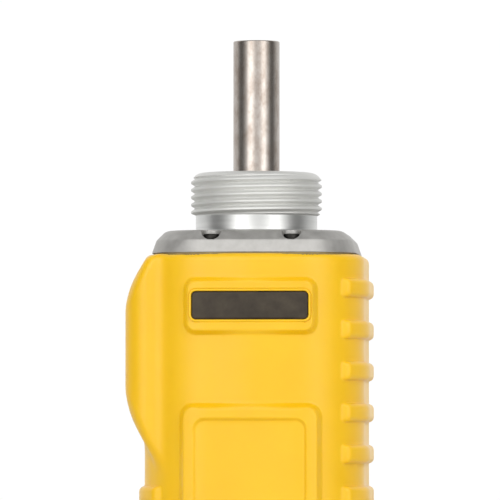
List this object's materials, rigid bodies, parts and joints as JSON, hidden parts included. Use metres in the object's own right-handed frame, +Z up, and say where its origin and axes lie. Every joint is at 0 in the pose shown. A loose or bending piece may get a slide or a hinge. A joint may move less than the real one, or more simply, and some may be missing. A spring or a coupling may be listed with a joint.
{
  "type": "portable gas detector",
  "caption": "Hand-held pumped gas detector in a ribbed rubber boot, with a cast top plate, a threaded collar, a metal inlet tube, a display, keys and a battery pack that tilts out.",
  "frame": {"origin": "on the inlet tube's axis, in the plane that the instrument stands on", "axes": "+Z up the inlet tube, -Y out of the display, +X to the right of someone who faces the display"},
  "size_m": [0.0745, 0.0643, 0.255],
  "materials": {
    "boot_rubber": "matte",
    "casing_plastic": "matte",
    "battery_plastic": "matte",
    "seal_rubber": "matte",
    "cast_metal": "satin",
    "turned_aluminium": "satin",
    "steel": "satin",
    "smoked_window": "gloss",
    "display_glass": "gloss",
    "display": "satin",
    "key_rubber": "matte",
    "circuit_board": "satin",
    "led_plastic": "gloss",
    "component_black": "matte",
    "motor_steel": "satin",
    "pump_plastic": "satin",
    "hose_rubber": "satin",
    "sensor_polymer": "satin",
    "lamp_glass": "gloss",
    "filter_media": "matte",
    "gold_contact": "gloss",
    "cell_wrap": "satin"
  },
  "bodies": {
    "instrument": {"rubber_boot": "boot_rubber", "front_case": "casing_plastic", "back_case": "casing_plastic", "case_gasket": "seal_rubber", "case_screws": "steel", "top_plate": "cast_metal", "plate_gasket": "seal_rubber", "top_plate_screws": "steel", "threaded_collar": "turned_aluminium", "inlet_tube": "steel", "dust_filter": "filter_media", "filter_seal": "seal_rubber", "sensor_cell": "sensor_polymer", "sensor_block": "sensor_polymer", "uv_lamp": "lamp_glass", "main_board": "circuit_board", "alarm_leds": "led_plastic", "key_switches": "component_black", "vibration_motor": "motor_steel", "alarm_window": "smoked_window", "display_lens": "display_glass", "lcd_module": "display", "pump_motor": "motor_steel", "pump_head": "pump_plastic", "pump_cradle": "seal_rubber", "intake_hose": "hose_rubber", "exhaust_hose": "hose_rubber", "gas_outlet": "steel", "sounder": "component_black", "charge_block": "casing_plastic", "charge_pins": "gold_contact", "bay_contacts": "gold_contact", "comm_socket": "component_black", "door_pin": "steel", "strap_bar": "steel", "battery_hinge_pin": "steel"},
    "key_left": {"key_left": "key_rubber"},
    "key_mode": {"key_mode": "key_rubber"},
    "key_right": {"key_right": "key_rubber"},
    "battery_pack": {"battery_tray": "battery_plastic", "battery_cover": "battery_plastic", "battery_cells": "cell_wrap", "battery_board": "circuit_board", "battery_pads": "gold_contact"},
    "battery_lock": {"battery_lock": "key_rubber"},
    "port_door": {"port_door": "casing_plastic"}
  },
  "joints": [
    {"name": "key_left_press", "type": "slide", "parent": "instrument", "child": "key_left", "axis": [0, 1, 0], "range_m": [0, 0.0008], "stiffness_N_per_m": 2500},
    {"name": "key_mode_press", "type": "slide", "parent": "instrument", "child": "key_mode", "axis": [0, 1, 0], "range_m": [0, 0.0008], "stiffness_N_per_m": 2500},
    {"name": "key_right_press", "type": "slide", "parent": "instrument", "child": "key_right", "axis": [0, 1, 0], "range_m": [0, 0.0008], "stiffness_N_per_m": 2500},
    {"name": "battery_tilt", "type": "hinge", "parent": "instrument", "child": "battery_pack", "pos_m": [0, 0.0275, 0.0182], "axis": [-1, 0, 0], "range_deg": [0, 25]},
    {"name": "battery_lock_slide", "type": "slide", "parent": "battery_pack", "child": "battery_lock", "axis": [0, 0, -1], "range_m": [-0.004, 0]},
    {"name": "port_door_swing", "type": "hinge", "parent": "instrument", "child": "port_door", "pos_m": [-0.03265, 0.0176, 0.0375], "axis": [0, 0, -1], "range_deg": [0, 110]}
  ]
}
